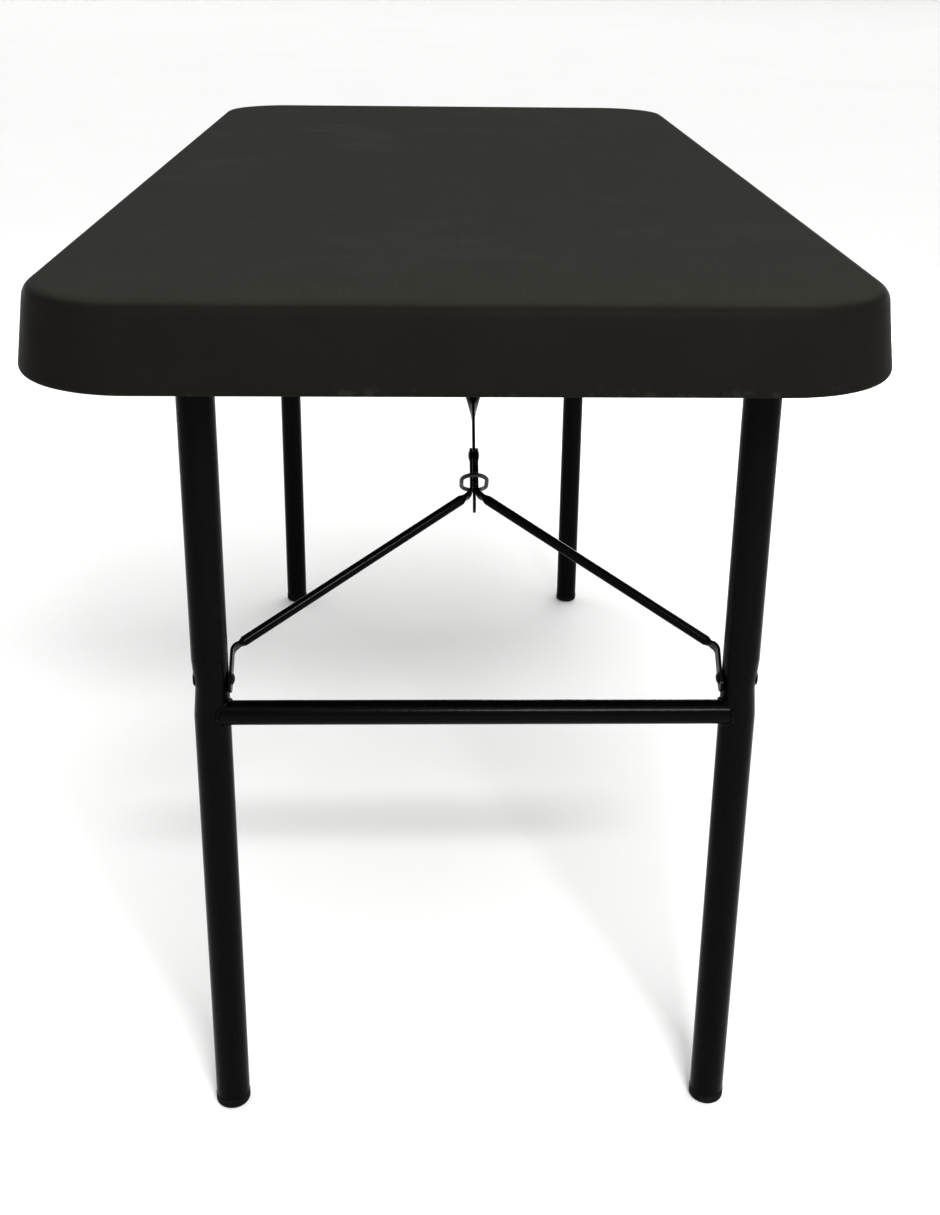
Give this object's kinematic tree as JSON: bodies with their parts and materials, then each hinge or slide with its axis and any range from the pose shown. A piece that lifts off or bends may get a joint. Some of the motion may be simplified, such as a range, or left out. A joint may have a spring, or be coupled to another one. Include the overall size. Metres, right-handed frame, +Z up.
{
  "type": "folding table",
  "caption": "Rectangular folding table with a moulded plastic top and tubular steel leg frames that fold flat under it on ring-locked V-braces.",
  "frame": {"origin": "on the floor under the middle of the opened table", "axes": "+X across the width, +Y along the length towards the rear end, +Z up"},
  "size_m": [0.6088, 1.2188, 0.72],
  "materials": {
    "moulded_top": "fine-grained satin black polyethylene",
    "painted_tube": "semi-gloss black powder coat",
    "zinc_fasteners": "zinc-plated steel",
    "foot_plastic": "matt black moulded plastic",
    "ring_wire": "dark plated spring wire"
  },
  "bodies": {
    "top": {"tabletop": "moulded_top", "front_saddle_left": "painted_tube", "front_saddle_right": "painted_tube", "front_saddle_screws": "zinc_fasteners", "front_strut_bracket": "painted_tube", "front_bracket_screws": "zinc_fasteners", "front_strut_pin": "zinc_fasteners", "rear_saddle_left": "painted_tube", "rear_saddle_right": "painted_tube", "rear_saddle_screws": "zinc_fasteners", "rear_strut_bracket": "painted_tube", "rear_bracket_screws": "zinc_fasteners", "rear_strut_pin": "zinc_fasteners"},
    "front_legs": {"front_leg_left": "painted_tube", "front_leg_right": "painted_tube", "front_foot_left": "foot_plastic", "front_foot_right": "foot_plastic", "front_crossbar": "painted_tube", "front_pivot_bar": "painted_tube", "front_bar_plugs": "foot_plastic", "front_leg_rivets": "painted_tube"},
    "front_strut_arm": {"front_strut": "painted_tube"},
    "front_brace": {"front_brace_rod_left": "painted_tube", "front_brace_rod_right": "painted_tube", "front_knee_rivet": "painted_tube", "front_rivet_caps": "painted_tube"},
    "front_ring": {"front_lock_ring": "ring_wire"},
    "rear_legs": {"rear_leg_left": "painted_tube", "rear_leg_right": "painted_tube", "rear_foot_left": "foot_plastic", "rear_foot_right": "foot_plastic", "rear_crossbar": "painted_tube", "rear_pivot_bar": "painted_tube", "rear_bar_plugs": "foot_plastic", "rear_leg_rivets": "painted_tube"},
    "rear_strut_arm": {"rear_strut": "painted_tube"},
    "rear_brace": {"rear_brace_rod_left": "painted_tube", "rear_brace_rod_right": "painted_tube", "rear_knee_rivet": "painted_tube", "rear_rivet_caps": "painted_tube"},
    "rear_ring": {"rear_lock_ring": "ring_wire"}
  },
  "joints": [
    {"name": "front_leg_fold", "type": "hinge", "parent": "top", "child": "front_legs", "pos_m": [0.0165, -0.512, 0.676], "axis": [1, 0, 0], "range_deg": [0, 90]},
    {"name": "front_strut_swing", "type": "hinge", "parent": "top", "child": "front_strut_arm", "pos_m": [0.0165, -0.23668, 0.675], "axis": [-1, 0, 0], "range_deg": [0, 44.56]},
    {"name": "front_knee_fold", "type": "hinge", "parent": "front_strut_arm", "child": "front_brace", "pos_m": [0.0165, -0.37552, 0.53834], "axis": [1, 0, 0], "range_deg": [0, 180.31]},
    {"name": "front_ring_slide", "type": "slide", "parent": "front_strut_arm", "child": "front_ring", "axis": [0, 0.7127, 0.7015], "range_m": [0, 0.10402]},
    {"name": "rear_leg_fold", "type": "hinge", "parent": "top", "child": "rear_legs", "pos_m": [-0.0165, 0.512, 0.676], "axis": [-1, 0, 0], "range_deg": [0, 90]},
    {"name": "rear_strut_swing", "type": "hinge", "parent": "top", "child": "rear_strut_arm", "pos_m": [-0.0165, 0.23668, 0.675], "axis": [1, 0, 0], "range_deg": [0, 44.56]},
    {"name": "rear_knee_fold", "type": "hinge", "parent": "rear_strut_arm", "child": "rear_brace", "pos_m": [-0.0165, 0.37552, 0.53834], "axis": [-1, 0, 0], "range_deg": [0, 180.31]},
    {"name": "rear_ring_slide", "type": "slide", "parent": "rear_strut_arm", "child": "rear_ring", "axis": [0, -0.7127, 0.7015], "range_m": [0, 0.10402]}
  ],
  "couplings": [
    {"joint": "front_strut_swing", "follows": "front_leg_fold", "ratio": 0.49496},
    {"joint": "front_knee_fold", "follows": "front_leg_fold", "ratio": 2.0033},
    {"joint": "front_ring_slide", "follows": "front_leg_fold", "m_per_rad": 0.066208},
    {"joint": "rear_strut_swing", "follows": "rear_leg_fold", "ratio": 0.49496},
    {"joint": "rear_knee_fold", "follows": "rear_leg_fold", "ratio": 2.0033},
    {"joint": "rear_ring_slide", "follows": "rear_leg_fold", "m_per_rad": 0.066208}
  ]
}
